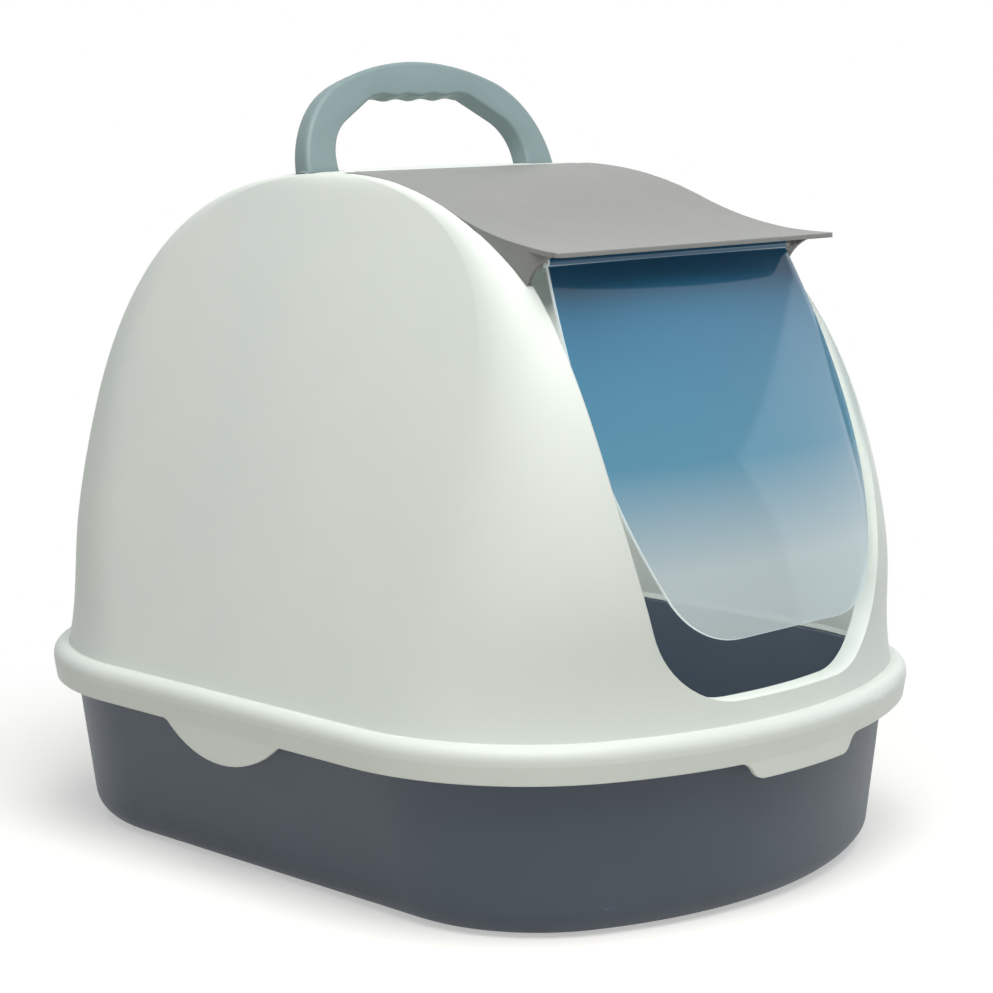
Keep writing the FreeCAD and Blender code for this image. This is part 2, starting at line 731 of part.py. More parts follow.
def make_pins(doc, label, radius, ends, axis_y, axis_z):
    """A pair of pins along X, one on each side."""
    start, end = ends
    pins = []
    for side, name in SIDES:
        pin = doc.addObject("Part::Cylinder", f"{label}_{name}")
        pin.Placement = FreeCAD.Placement(FreeCAD.Vector(), FreeCAD.Rotation(FreeCAD.Vector(0, side, 0), 90))
        for target, size in (("Radius", radius), ("Height", end - start), ("Placement.Base.x", start * side),
                             ("Placement.Base.y", axis_y), ("Placement.Base.z", axis_z)):
            pin.setExpression(target, size.text)
        pins.append(pin)
    return pins


def make_all_pins(doc, s):
    return [
        *make_pins(doc, "visor_hinge_pin", s.visor_pin, visor_pin_ends(s), s.visor_axis_y, s.visor_axis_z),
        *make_pins(doc, "door_hinge_pin", s.door_pin, door_pin_ends(s), s.door_axis_y, s.door_axis_z),
        *make_pins(doc, "handle_pivot_pin", s.handle_pin, handle_pin_ends(s), s.handle_axis_y, s.handle_axis_z),
    ]


def make_shell(doc, label, shape):
    shell = doc.addObject("Part::Feature", label)
    shell.Shape = shape
    return shell


def export(doc, pieces):
    """Check every object and write each piece to its own file."""
    doc.recompute()
    for item in doc.Objects:
        if "Invalid" in item.State or "Error" in item.State:
            raise RuntimeError(f"{item.Label} did not rebuild: {item.State}")
    os.makedirs("parts", exist_ok=True)
    for piece in pieces:
        if piece.Shape.isNull() or not piece.Shape.isValid() or not piece.Shape.Solids:
            raise RuntimeError(f"{piece.Label} has no valid solid")
        piece.Shape.exportStep(f"parts/{piece.Label}.step")


def main():
    doc = FreeCAD.newDocument("litter_box")
    s = make_sheet(doc)
    n = SimpleNamespace(**{name: size.value for name, size in vars(s).items()})
    pieces = [make_tray(doc, s), make_door(doc, s), make_handle(doc, s)]
    pieces += [make_shell(doc, "hood_shell", hood_shape(n)), make_shell(doc, "visor_cover", visor_shape(n))]
    pieces += make_all_pins(doc, s)
    export(doc, pieces)


main()
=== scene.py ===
import json
import math

import bmesh
import bpy
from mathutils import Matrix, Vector


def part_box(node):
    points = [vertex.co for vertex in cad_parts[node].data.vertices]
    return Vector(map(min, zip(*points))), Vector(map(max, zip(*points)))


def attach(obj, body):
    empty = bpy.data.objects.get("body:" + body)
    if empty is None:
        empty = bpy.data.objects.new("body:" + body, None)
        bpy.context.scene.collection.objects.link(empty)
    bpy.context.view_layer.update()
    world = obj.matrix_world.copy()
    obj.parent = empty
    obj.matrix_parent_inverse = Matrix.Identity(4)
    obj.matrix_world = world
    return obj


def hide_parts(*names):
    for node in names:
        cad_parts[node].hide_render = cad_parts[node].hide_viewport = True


bl_info = {
    "name": "Hooded litter box",
    "version": (1, 0, 0),
    "blender": (4, 5, 0),
    "location": "3D View > Sidebar > Litter box",
    "description": "Makes and finishes the pieces of a hooded litter box on a pale studio floor",
    "category": "Object",
}

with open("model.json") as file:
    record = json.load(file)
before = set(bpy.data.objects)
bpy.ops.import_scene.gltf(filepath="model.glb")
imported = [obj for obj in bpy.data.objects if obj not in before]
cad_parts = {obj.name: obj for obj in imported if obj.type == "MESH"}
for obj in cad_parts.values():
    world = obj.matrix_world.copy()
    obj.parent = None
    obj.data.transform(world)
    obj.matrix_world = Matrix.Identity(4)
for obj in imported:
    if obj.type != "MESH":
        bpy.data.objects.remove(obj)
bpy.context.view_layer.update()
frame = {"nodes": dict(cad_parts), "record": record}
MM = 0.001
# Faces of the door's sheet: down its sides, round its lower corners and across it
DOOR_ROWS = 26
CORNER_ROWS = 12
DOOR_COLUMNS = 36
# Faces round a hinge barrel, along each arc of the handle and along half of its grip
TUBE_STEPS = 24
ARC_STEPS = 14
GRIP_STEPS = 32
# Faces across a rounded edge of the door and of the handle
DOOR_EDGE_STEPS = 2
HANDLE_EDGE_STEPS = 4
# Vertices closer than this are one, and edges that turn by more than this stay crisp
MERGE = 0.01 * MM
CRISP = math.radians(35)
# Length of a door pin that shows past the barrel
BARREL_END = 8.4 * MM
# Factors that make the curves of the door's bulge and dip one at their highest
BULGE_PEAK = 4
DIP_PEAK = 27 / 4
# Heights on the door, from its foot to its hinge, at which its low and middle tints lie
LOW_STOP = 0.2
MIDDLE_STOP = 0.47
# Share of the light that the door's milky tint holds back: at the hinge, middle, low and at the foot
DOOR_MILK = (0.8, 0.64, 0.66, 0.44)
# Cosine of a face's turn from the sheet's front where the cut edge and its painted glow start to show, and
# where they fully show
RIM_START = 0.7
RIM_FULL = 0.4

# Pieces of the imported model, by the finish that they take
TRAY = ["litter_tray"]
HOOD = ["hood_shell"]
VISOR = ["visor_cover"]
PINS = [name for name in frame["nodes"] if name.endswith(("_pin_left", "_pin_right"))]
# Places of the hinges, by joint
HINGES = {joint["name"]: Vector(joint["pos_m"]) for joint in frame["record"]["behaviour"]["joints"]
          if "pos_m" in joint}


def linear(code):
    """Turns an sRGB hex colour into linear red, green and blue."""
    shares = [int(code[i:i + 2], 16) / 255 for i in (0, 2, 4)]
    return tuple(c / 12.92 if c <= 0.04045 else ((c + 0.055) / 1.055) ** 2.4 for c in shares)


def opaque(colour):
    """Adds a full alpha to a colour for a node's socket."""
    return (*colour, 1.0)


def add_node(tree, kind, inputs=None, **settings):
    """Adds a node with its settings, and links or sets its inputs."""
    node = tree.nodes.new(kind)
    for name, value in settings.items():
        setattr(node, name, value)
    for socket, value in (inputs or {}).items():
        if isinstance(value, bpy.types.NodeSocket):
            tree.links.new(value, node.inputs[socket])
        else:
            node.inputs[socket].default_value = value
    return node


def empty_material(name):
    """Starts a node material with nothing in it."""
    material = bpy.data.materials.new(name)
    material.use_nodes = True
    material.node_tree.nodes.clear()
    return material


def dress(nodes, material):
    """Puts one material on every slot of the named CAD pieces."""
    for name in nodes:
        slots = frame["nodes"][name].material_slots
        if not slots:
            raise RuntimeError(f"{name} has no material slot")
        for slot in slots:
            slot.material = material


def colour_property(name, description, code):
    """A colour that a user can change, given as sRGB hex."""
    return bpy.props.FloatVectorProperty(
        name=name, description=description, subtype="COLOR", size=3, min=0, max=1, default=linear(code))


def length_property(name, description, millimetres):
    """A length that a user can change, given in millimetres."""
    return bpy.props.FloatProperty(
        name=name, description=description, unit="LENGTH", min=0, precision=5, default=millimetres * MM)


class LitterBoxFinishes(bpy.types.PropertyGroup):
    """Colours and surface sizes of the mouldings."""
    hood: colour_property("Hood", "Pale polypropylene of the hood", "E4E8E0")
    hood_deep: colour_property("Hood, deep", "Fainter patches in the hood's colour", "DCE2DB")
    visor: colour_property("Visor", "Warm grey polypropylene of the visor", "8A8A86")
    visor_deep: colour_property("Visor, deep", "Fainter patches in the visor's colour", "80817E")
    handle: colour_property("Handle", "Blue-grey polypropylene of the handle", "829495")
    handle_deep: colour_property("Handle, deep", "Fainter patches in the handle's colour", "798B8C")
    tray: colour_property("Tray", "Slate polypropylene of the tray", "475361")
    tray_deep: colour_property("Tray, deep", "Fainter patches in the tray's colour", "3F4A56")
    pins: colour_property("Pins", "Natural acetal of the hinge pins", "C9CCC8")
    pins_deep: colour_property("Pins, deep", "Fainter patches in the pins' colour", "BCC0BC")
    # Deep blue at the hinge: partly the sheet's own tint, partly painted shade under the visor's bill
    door_top_and_shade: colour_property("Door tint, top", "Blue of the clear door at its hinge", "1F6C97")
    door_middle: colour_property("Door tint, middle", "Blue of the clear door halfway down", "64A5C0")
    door_low: colour_property("Door tint, low", "Pale blue of the clear door below that", "D3DEE1")
    door_foot: colour_property("Door tint, foot", "Faint blue of the clear door at its foot", "E8EFF0")
    # Painted glow along the door's cut edge, in its colour and its emission, though no lamp is there
    door_edge_glow: colour_property("Door edge", "Light gathered along the door's cut edge", "EEF4F4")
    grain: length_property("Mould grain", "Width of the fine grain left by the mould", 1.1)
    grain_depth: length_property("Grain depth", "Depth of that grain", 0.05)
    patch: length_property("Patch", "Width of the faint patches in the colour", 70)
    edge: length_property("Edge round", "Radius over which a moulded edge catches light", 1.0)


class LitterBoxDoor(bpy.types.PropertyGroup):
    """Shape of the door: a curved sheet under a round barrel."""
    tilt: bpy.props.FloatProperty(
        name="Tilt", description="Lean of the hanging door from upright", subtype="ANGLE",
        default=math.radians(19.8))
    drop: length_property("Drop", "From the hinge to the foot", 210.6)
    half_width: length_property("Half width", "Half of the greatest width", 105.8)
    upright: length_property("Widest place", "Distance below the hinge at which the door is widest", 85)
    arch: length_property("Arch", "Radius by which the sides draw in above that place", 425)
    lean: bpy.props.FloatProperty(
        name="Side lean", description="Slope of the sides where they meet the corners", subtype="ANGLE",
        default=math.radians(25))
    corner: length_property("Corner", "Radius of the lower corners", 48)
    bow: length_property("Bow", "Forward bow of the foot across the width", 19)
    sag: length_property("Sag", "Forward bulge of the sheet down its drop", 12.5)
    dip: length_property("Dip", "Draw back of that bulge below the hinge", 5)
    wall: length_property("Wall", "Thickness of the sheet", 2.2)
    barrel: length_property("Barrel", "Radius of the hinge barrel", 3)
    bore: length_property("Bore", "Radius of the bore along the barrel", 1.6)
    edge: length_property("Edge", "Round along the sheet's cut edge", 0.5)


class LitterBoxHandle(bpy.types.PropertyGroup):
    """Shape of the carrying handle: an arch with a grooved grip."""
    tilt: bpy.props.FloatProperty(
        name="Tilt", description="Backward lean of the standing handle", subtype="ANGLE",
        default=math.radians(17))
    half_span: length_property("Half span", "Half of the width over the legs", 100)
    leg: length_property("Leg", "Width of a leg", 23.5)
    side: length_property("Side radius", "Radius of the arch's shoulders", 61)
    rise: length_property("Rise", "Height of the arch above its pivots", 68.5)
    grip: length_property("Grip", "Height of the grip's underside above the pivots", 47.4)
    pitch: length_property("Groove pitch", "Distance between the finger grooves", 20)
    groove: length_property("Groove", "Depth of the finger grooves", 1.3)
    hole_radius: length_property("Hole radius", "Radius of the finger hole above its sides", 28)
    hole_height: length_property("Hole height", "Height at which the finger hole starts to draw in", 9.6)
    hole_lean: bpy.props.FloatProperty(
        name="Hole lean", description="Turn of the hole's sides before their straight run", subtype="ANGLE",
        default=math.radians(60))
    depth: length_property("Depth", "Depth of the arch from front to back", 13)
    round: length_property("Round", "Round along the outer edges", 3)
    hole_round: length_property("Hole round", "Round along the hole's edges", 1.5)
    bore: length_property("Bore", "Radius of the bore for a pivot pin", 2.3)
    foot: length_property("Foot", "Height at which the legs pass into their round feet", 4)


class LitterBoxStage(bpy.types.PropertyGroup):
    """Camera, lamps and floor."""
    azimuth: bpy.props.FloatProperty(
        name="Camera azimuth", description="Turn of the camera from the front", subtype="ANGLE",
        default=math.radians(-45.71))
    elevation: bpy.props.FloatProperty(
        name="Camera elevation", description="Height angle of the camera", subtype="ANGLE",
        default=math.radians(9.31))
    distance: length_property("Camera distance", "From the camera to the point that it looks at", 1553.6)
    aim: bpy.props.FloatVectorProperty(
        name="Aim", description="Point that the camera looks at", subtype="TRANSLATION", unit="LENGTH",
        default=(0, -18.9 * MM, 196.7 * MM))
    lens: bpy.props.FloatProperty(
        name="Lens", description="Focal length on a 36 mm sensor", unit="CAMERA", default=97.05)
    key_power: bpy.props.FloatProperty(
        name="Key lamp", description="Power of the soft lamp above the front", unit="POWER", default=14)
    top_power: bpy.props.FloatProperty(
        name="Top lamp", description="Power of the soft lamp overhead", unit="POWER", default=6)
    side_power: bpy.props.FloatProperty(
        name="Side lamp", description="Power of the soft lamp on the right", unit="POWER", default=3.2)
    side_colour: colour_property("Side lamp colour", "Cool tint of that lamp", "E0F0F8")
    back_power: bpy.props.FloatProperty(
        name="Back lamp", description="Power of the soft lamp on the side turned away from the camera",
        unit="POWER", default=5)
    cabin_power: bpy.props.FloatProperty(
        name="Cabin lamp", description="Power of the light that comes through the hood's thin wall",
        unit="POWER", default=0.75)
    sky: bpy.props.FloatProperty(
        name="Surround", description="Strength of the even light from all round", min=0, default=0.23)
    sky_colour: colour_property("Surround colour", "Colour of that even light", "EAF6F8")
    floor: colour_property("Floor", "Pale paper of the floor", "E0DCD6")
    floor_lift: bpy.props.FloatProperty(
        name="Floor lift", description="Light added to the floor as seen, so that it is white", default=0.44)
    floor_radius: length_property("Floor radius", "Radius of the round floor", 4000)
    shadow_near: length_property("Shadow, near", "Distance to which the floor keeps its full shadow", 300)
    shadow_far: length_property("Shadow, far", "Distance past which the floor is plain white", 540)


def finishes():
    """The finishes as the user has set them."""
    return bpy.context.scene.litter_box_finishes


def moulded_plastic(name, colour, deep, roughness, ior, painted_edge_light=0.18):
    """Injection-moulded plastic with a fine satin mould grain.

    The grain spreads the gloss into a soft sheen, thick and thin places give faint patches of colour, and
    edges are a little rounded, so they catch some real light, and a thin painted highlight, as pale as the
    edge light factor says, is mixed into their colour.
    """
    values = finishes()
    material = empty_material(name)
    tree = material.node_tree
    place = add_node(tree, "ShaderNodeTexCoord").outputs["Object"]
    patches = add_node(
        tree, "ShaderNodeTexNoise", {"Vector": place, "Scale": 1 / values.patch, "Detail": 2.0})
    # The real grain is a few tenths of a millimetre wide, and is drawn wider so that it shows
    grain = add_node(
        tree, "ShaderNodeTexNoise", {"Vector": place, "Scale": 1 / values.grain, "Detail": 2.0})
    tint = add_node(
        tree, "ShaderNodeMix", {0: patches.outputs["Fac"], 6: opaque(deep), 7: opaque(colour)},
        data_type="RGBA")
    rounded = add_node(tree, "ShaderNodeBevel", {"Radius": values.edge}, samples=6)
    flat = add_node(tree, "ShaderNodeNewGeometry")
    turn = add_node(
        tree, "ShaderNodeVectorMath", {0: rounded.outputs["Normal"], 1: flat.outputs["Normal"]},
        operation="DOT_PRODUCT")
    # Painted highlight: the more the rounded normal turns from the flat one, the more the colour is mixed
    # towards near white
    edge = add_node(
        tree, "ShaderNodeMapRange",
        {"Value": turn.outputs["Value"], "From Min": 0.99, "From Max": 0.85,
         "To Min": 0.0, "To Max": painted_edge_light})
    painted_edge_highlight = add_node(
        tree, "ShaderNodeMix", {0: edge.outputs["Result"], 6: tint.outputs[2], 7: (1.0, 1.0, 0.97, 1.0)},
        data_type="RGBA")
    sheen = add_node(
        tree, "ShaderNodeMapRange",
        {"Value": grain.outputs["Fac"], "From Min": 0.3, "From Max": 0.7,
         "To Min": roughness - 0.06, "To Max": roughness + 0.06})
    bump = add_node(
        tree, "ShaderNodeBump",
        {"Height": grain.outputs["Fac"], "Strength": 0.5, "Distance": values.grain_depth,
         "Normal": rounded.outputs["Normal"]})
    skin = add_node(
        tree, "ShaderNodeBsdfPrincipled",
        {"Base Color": painted_edge_highlight.outputs[2], "Roughness": sheen.outputs["Result"], "IOR": ior,
         "Normal": bump.outputs["Normal"]})
    add_node(tree, "ShaderNodeOutputMaterial", {"Surface": skin.outputs["BSDF"]})
    return material


def down_the_door(tree, height, top, middle, low, foot):
    """Blends four values or colours from the door's hinge to its foot."""
    bottom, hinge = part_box("door_flap")
    ramp = add_node(
        tree, "ShaderNodeMapRange", {"Value": height, "From Min": bottom.z, "From Max": hinge.z})
    blend = add_node(tree, "ShaderNodeValToRGB", {"Fac": ramp.outputs["Result"]})
    stops = blend.color_ramp.elements
    stops[0].color, stops[1].color = foot, top
    stops.new(LOW_STOP).color = low
    stops.new(MIDDLE_STOP).color = middle
    return blend.outputs["Color"]


def clear_sheet(name):
    """Clear polycarbonate sheet with a milky blue tint that fades towards its foot.

    It is smooth and glossy and what is behind it shows through unbent. The deep blue near the hinge is partly
    its tint and partly painted shade under the visor, and a thin pale line of painted glow along the cut edge
    stands for light gathered inside the sheet.
    """
    values, tilt = finishes(), bpy.context.scene.litter_box_door.tilt
    material = empty_material(name)
    tree = material.node_tree
    coordinates = add_node(tree, "ShaderNodeTexCoord")
    place = coordinates.outputs["Object"]
    height = add_node(tree, "ShaderNodeSeparateXYZ", {"Vector": place}).outputs["Z"]
    # Tint from foot to hinge; the deep blue near the hinge is partly painted shade under the visor
    tint = down_the_door(
        tree, height, opaque(values.door_top_and_shade), opaque(values.door_middle), opaque(values.door_low),
        opaque(values.door_foot))
    milk = down_the_door(tree, height, *[(share, share, share, 1.0) for share in DOOR_MILK])
    smears = add_node(
        tree, "ShaderNodeTexNoise", {"Vector": place, "Scale": 1 / values.patch, "Detail": 3.0})
    haze = add_node(
        tree, "ShaderNodeMapRange",
        {"Value": smears.outputs["Fac"], "From Min": 0.3, "From Max": 0.7, "To Min": 0.05, "To Max": 0.12})
    across = add_node(
        tree, "ShaderNodeVectorMath",
        {0: coordinates.outputs["Normal"], 1: (0, -math.cos(tilt), math.sin(tilt))}, operation="DOT_PRODUCT")
    facing = add_node(tree, "ShaderNodeMath", {0: across.outputs["Value"]}, operation="ABSOLUTE")
    # Painted glow: faces turned away from the sheet's front take the pale edge colour here and a faint
    # emission below, though no lamp is there
    edge_glow_mask = add_node(
        tree, "ShaderNodeMapRange",
        {"Value": facing.outputs["Value"], "From Min": RIM_START, "From Max": RIM_FULL,
         "To Min": 0.0, "To Max": 0.8})
    body = add_node(
        tree, "ShaderNodeMix", {0: edge_glow_mask.outputs["Result"], 6: tint, 7: opaque(values.door_edge_glow)},
        data_type="RGBA")
    through = add_node(tree, "ShaderNodeBsdfTransparent", {"Color": tint})
    painted_glow_strength = add_node(
        tree, "ShaderNodeMapRange",
        {"Value": facing.outputs["Value"], "From Min": RIM_START, "From Max": RIM_FULL,
         "To Min": 0.0, "To Max": 0.35})
    gloss = add_node(
        tree, "ShaderNodeBsdfPrincipled",
        {"Base Color": body.outputs[2], "Roughness": haze.outputs["Result"], "IOR": 1.58,
         "Emission Color": opaque(values.door_edge_glow), "Emission Strength": painted_glow_strength.outputs["Result"]})
    solid = add_node(tree, "ShaderNodeMath", {0: milk, 1: edge_glow_mask.outputs["Result"]}, operation="MAXIMUM")
    sheet = add_node(
        tree, "ShaderNodeMixShader",
        {0: solid.outputs["Value"], 1: through.outputs["BSDF"], 2: gloss.outputs["BSDF"]})
    add_node(tree, "ShaderNodeOutputMaterial", {"Surface": sheet.outputs["Shader"]})
    return material


def door_rows(door):
    """Distances below the hinge at which the door's outline is drawn, with its half width at each."""
    sine, cosine = math.sin(door.lean), math.cos(door.lean)
    corner_start = door.drop - door.corner * (1 - sine)
    side = (corner_start - door.upright) / sine
    flat = door.half_width - side * (1 - cosine) - door.corner * cosine
    first = (door.barrel + door.bore) / 2
    rows = []
    for step in range(DOOR_ROWS):
        fall = first + (corner_start - first) * step / DOOR_ROWS
        radius = door.arch if fall < door.upright else side
        rows.append((fall, door.half_width - radius + math.sqrt(radius ** 2 - (fall - door.upright) ** 2)))
    for step in range(CORNER_ROWS + 1):
        angle = door.lean + (math.pi / 2 - door.lean) * step / CORNER_ROWS
        rows.append((door.drop - door.corner * (1 - math.sin(angle)), flat + door.corner * math.cos(angle)))
    return rows


def door_point(door, fall, aside, depth):
    """A place on the curved sheet: this far below the hinge, beside the middle and off the surface."""
    share = fall / door.drop
    bulge = BULGE_PEAK * door.sag * share * (1 - share) - DIP_PEAK * door.dip * share * (1 - share) ** 2
    bow = door.bow * share * (2 - share) * (1 - (aside / door.half_width) ** 2)
    sine, cosine = math.sin(door.tilt), math.cos(door.tilt)
    out = bulge + bow + depth
    hinge = HINGES["door_swing"]
    return Vector((aside, hinge.y - fall * sine - out * cosine, hinge.z - fall * cosine + out * sine))


def door_sheet(shape, door):
    """The sheet: a front and a back face that follow the outline, joined round their edge."""
    rows = door_rows(door)
    for depth in (door.wall / 2, -door.wall / 2):
        grid = [[shape.verts.new(door_point(door, fall, half * (2 * column / DOOR_COLUMNS - 1), depth))
                 for column in range(DOOR_COLUMNS + 1)] for fall, half in rows]
        for upper, lower in zip(grid, grid[1:]):
            for column in range(DOOR_COLUMNS):
                corners = (upper[column], lower[column], lower[column + 1], upper[column + 1])
                shape.faces.new(corners if depth > 0 else corners[::-1])
    rims = [edge for edge in shape.edges if edge.is_boundary]
    bmesh.ops.bridge_loops(shape, edges=rims)
    shape.normal_update()
    bmesh.ops.bevel(
        shape, geom=rims, offset=door.edge, offset_type="OFFSET", segments=DOOR_EDGE_STEPS, profile=0.5,
        affect="EDGES", material=-1)


def add_tube(shape, centre, start, end, bore, radius):
    """A tube along X round a hinge, open for a pin."""
    wall = [shape.verts.new((x, centre.y, centre.z + reach)) for x, reach in (
        (start, bore), (start, radius), (end, radius), (end, bore))]
    loop = [shape.edges.new((wall[i], wall[i - 1])) for i in range(len(wall))]
    bmesh.ops.spin(
        shape, geom=wall + loop, cent=centre, axis=(1, 0, 0), angle=math.tau, steps=TUBE_STEPS,
        use_merge=True)


def make_piece(shape, name, material):
    """Turns a finished shape into a smooth piece of one material."""
    bmesh.ops.remove_doubles(shape, verts=shape.verts, dist=MERGE)
    bmesh.ops.recalc_face_normals(shape, faces=shape.faces)
    mesh = bpy.data.meshes.new(name)
    shape.to_mesh(mesh)
    shape.free()
    mesh.shade_smooth()
    mesh.set_sharp_from_angle(angle=CRISP)
    mesh.materials.append(material)
    piece = bpy.data.objects.new(name, mesh)
    bpy.context.scene.collection.objects.link(piece)
    return piece


def arc(centre, radius, start, end, steps):
    """Places along an arc, its first and last included."""
    turns = [start + (end - start) * step / steps for step in range(steps + 1)]
    return [(centre[0] + radius * math.cos(turn), centre[1] + radius * math.sin(turn)) for turn in turns]


def handle_outline(handle):
    """The arch's outer side from right to left, and the finger hole's side from left to right."""
    side_x = handle.half_span - handle.side
    top = (side_x ** 2 + handle.rise ** 2 - handle.side ** 2) / ((handle.rise - handle.side) * 2)
    join = math.atan2(top - handle.rise, side_x)
    shoulder = arc((side_x, 0), handle.side, math.asin(handle.foot / handle.side), join, ARC_STEPS)
    crown = arc((0, handle.rise - top), top, join, math.pi / 2, ARC_STEPS)[1:]
    right = shoulder + crown
    outer = right + [(-x, height) for x, height in right[-2::-1]]
    inner_x = handle.half_span - handle.leg
    bend_centre = (inner_x - handle.hole_radius, handle.hole_height)
    bend = arc(bend_centre, handle.hole_radius, 0, handle.hole_lean, ARC_STEPS)
    grip_end = bend[-1][0] - (handle.grip - bend[-1][1]) * math.tan(handle.hole_lean)
    grip = []
    for step in range(GRIP_STEPS + 1):
        x = grip_end * (1 - step / GRIP_STEPS)
        wave = (1 - math.cos(math.tau * x / handle.pitch)) / 2
        grip.append((x, handle.grip + handle.groove * wave))
    hole_right = [(inner_x, handle.foot)] + bend + grip
    hole = [(-x, height) for x, height in hole_right] + hole_right[-2::-1]
    return outer, hole


def handle_arch(shape, handle):
    """The arch and its legs, with rounded edges."""
    pivot = HINGES["handle_swing"]
    sine, cosine = math.sin(handle.tilt), math.cos(handle.tilt)
    outer, hole = handle_outline(handle)
    rings = []
    for depth in (-handle.depth / 2, handle.depth / 2):
        rings.append([shape.verts.new((
            x, pivot.y + height * sine + depth * cosine, pivot.z + height * cosine - depth * sine))
            for x, height in outer + hole])
    front, back = rings
    shape.faces.new(front)
    shape.faces.new(back[::-1])
    for i in range(len(front)):
        shape.faces.new((front[i - 1], back[i - 1], back[i], front[i]))
    runs = ((range(1, len(outer)), handle.round), (range(len(outer) + 1, len(front)), handle.hole_round))
    rims = [([shape.edges.get((ring[i - 1], ring[i])) for ring in rings for i in run], size)
            for run, size in runs]
    for edges, size in rims:
        shape.normal_update()
        bmesh.ops.bevel(
            shape, geom=edges, offset=size, offset_type="OFFSET", segments=HANDLE_EDGE_STEPS, profile=0.5,
            affect="EDGES", material=-1)


def make_handle(material):
    """The handle as one piece that stands for the one with a plainer hole."""
    handle = bpy.context.scene.litter_box_handle
    shape = bmesh.new()
    handle_arch(shape, handle)
    for side in (-1, 1):
        ends = sorted((side * handle.half_span, side * (handle.half_span - handle.leg)))
        add_tube(shape, HINGES["handle_swing"], *ends, handle.bore, handle.depth / 2)
    piece = make_piece(shape, "handle_arch", material)
    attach(piece, "handle")
    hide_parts("carry_handle")


def make_door(material):
    """The door as one piece that stands for the plain flat one."""
    door = bpy.context.scene.litter_box_door
    shape = bmesh.new()
    door_sheet(shape, door)
    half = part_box("door_hinge_pin_right")[1].x - BARREL_END
    add_tube(shape, HINGES["door_swing"], -half, half, door.bore, door.barrel)
    piece = make_piece(shape, "door_sheet", material)
    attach(piece, "door")
    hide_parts("door_flap")


class LITTERBOX_OT_tray(bpy.types.Operator):
    """Finish the tray in slate moulded polypropylene"""
    bl_idname = "litterbox.tray"
    bl_label = "Finish tray"

    def execute(self, context):
        values = finishes()
        dress(TRAY, moulded_plastic(
            "moulded_polypropylene_slate", values.tray, values.tray_deep, roughness=0.46, ior=1.49,
            painted_edge_light=0.02))
        return {"FINISHED"}


class LITTERBOX_OT_hood(bpy.types.Operator):
    """Finish the hood in pale moulded polypropylene"""
    bl_idname = "litterbox.hood"
    bl_label = "Finish hood"

    def execute(self, context):
        values = finishes()
        dress(HOOD, moulded_plastic(
            "moulded_polypropylene_pale", values.hood, values.hood_deep, roughness=0.48, ior=1.49))
        return {"FINISHED"}


class LITTERBOX_OT_visor(bpy.types.Operator):
    """Finish the visor in warm grey moulded polypropylene"""
    bl_idname = "litterbox.visor"
    bl_label = "Finish visor"

    def execute(self, context):
        values = finishes()
        dress(VISOR, moulded_plastic(
            "moulded_polypropylene_grey", values.visor, values.visor_deep, roughness=0.5, ior=1.49))
        return {"FINISHED"}


class LITTERBOX_OT_door(bpy.types.Operator):
    """Make the curved door of clear tinted polycarbonate"""
    bl_idname = "litterbox.door"
    bl_label = "Make door"

    def execute(self, context):
        make_door(clear_sheet("clear_polycarbonate_blue"))
        return {"FINISHED"}


class LITTERBOX_OT_handle(bpy.types.Operator):
    """Make the carrying handle of blue-grey moulded polypropylene"""
    bl_idname = "litterbox.handle"
    bl_label = "Make handle"

    def execute(self, context):
        values = finishes()
        make_handle(moulded_plastic(
            "moulded_polypropylene_blue", values.handle, values.handle_deep, roughness=0.5, ior=1.49))
        return {"FINISHED"}


class LITTERBOX_OT_pins(bpy.types.Operator):
    """Finish the hinge pins in natural moulded acetal"""
    bl_idname = "litterbox.pins"
    bl_label = "Finish pins"

    def execute(self, context):
        values = finishes()
        dress(PINS, moulded_plastic(
            "moulded_acetal_natural", values.pins, values.pins_deep, roughness=0.38, ior=1.48))
        return {"FINISHED"}


def seen_directly(tree):
    """One where a ray comes from the camera, a mirror or clear plastic, and zero elsewhere."""
    path = add_node(tree, "ShaderNodeLightPath")
    either = add_node(
        tree, "ShaderNodeMath", {0: path.outputs["Is Camera Ray"], 1: path.outputs["Is Glossy Ray"]},
        operation="MAXIMUM")
    return add_node(
        tree, "ShaderNodeMath", {0: either.outputs["Value"], 1: path.outputs["Is Transmission Ray"]},
        operation="MAXIMUM").outputs["Value"]


def floor_paper(values):
    """Pale matt paper that keeps the soft shadow near the box and is plain white further out."""
    material = empty_material("matt_paper_white")
    tree = material.node_tree
    seen = seen_directly(tree)
    place = add_node(tree, "ShaderNodeTexCoord").outputs["Object"]
    reach = add_node(tree, "ShaderNodeVectorMath", {0: place}, operation="LENGTH")
    far = add_node(
        tree, "ShaderNodeMapRange",
        {"Value": reach.outputs["Value"], "From Min": values.shadow_near, "From Max": values.shadow_far,
         "To Min": 0.0, "To Max": 1.0},
        interpolation_type="SMOOTHSTEP")
    plain = add_node(tree, "ShaderNodeMath", {0: far.outputs["Result"], 1: seen}, operation="MULTIPLY")
    lift = add_node(tree, "ShaderNodeMath", {0: seen, 1: values.floor_lift}, operation="MULTIPLY")
    paper = add_node(tree, "ShaderNodeBsdfDiffuse", {"Color": opaque(values.floor)})
    glow = add_node(tree, "ShaderNodeEmission", {"Strength": lift.outputs["Value"]})
    near = add_node(tree, "ShaderNodeAddShader", {0: paper.outputs["BSDF"], 1: glow.outputs["Emission"]})
    white = add_node(tree, "ShaderNodeEmission", {"Strength": 1.0})
    floor = add_node(
        tree, "ShaderNodeMixShader",
        {0: plain.outputs["Value"], 1: near.outputs["Shader"], 2: white.outputs["Emission"]})
    add_node(tree, "ShaderNodeOutputMaterial", {"Surface": floor.outputs["Shader"]})
    return material


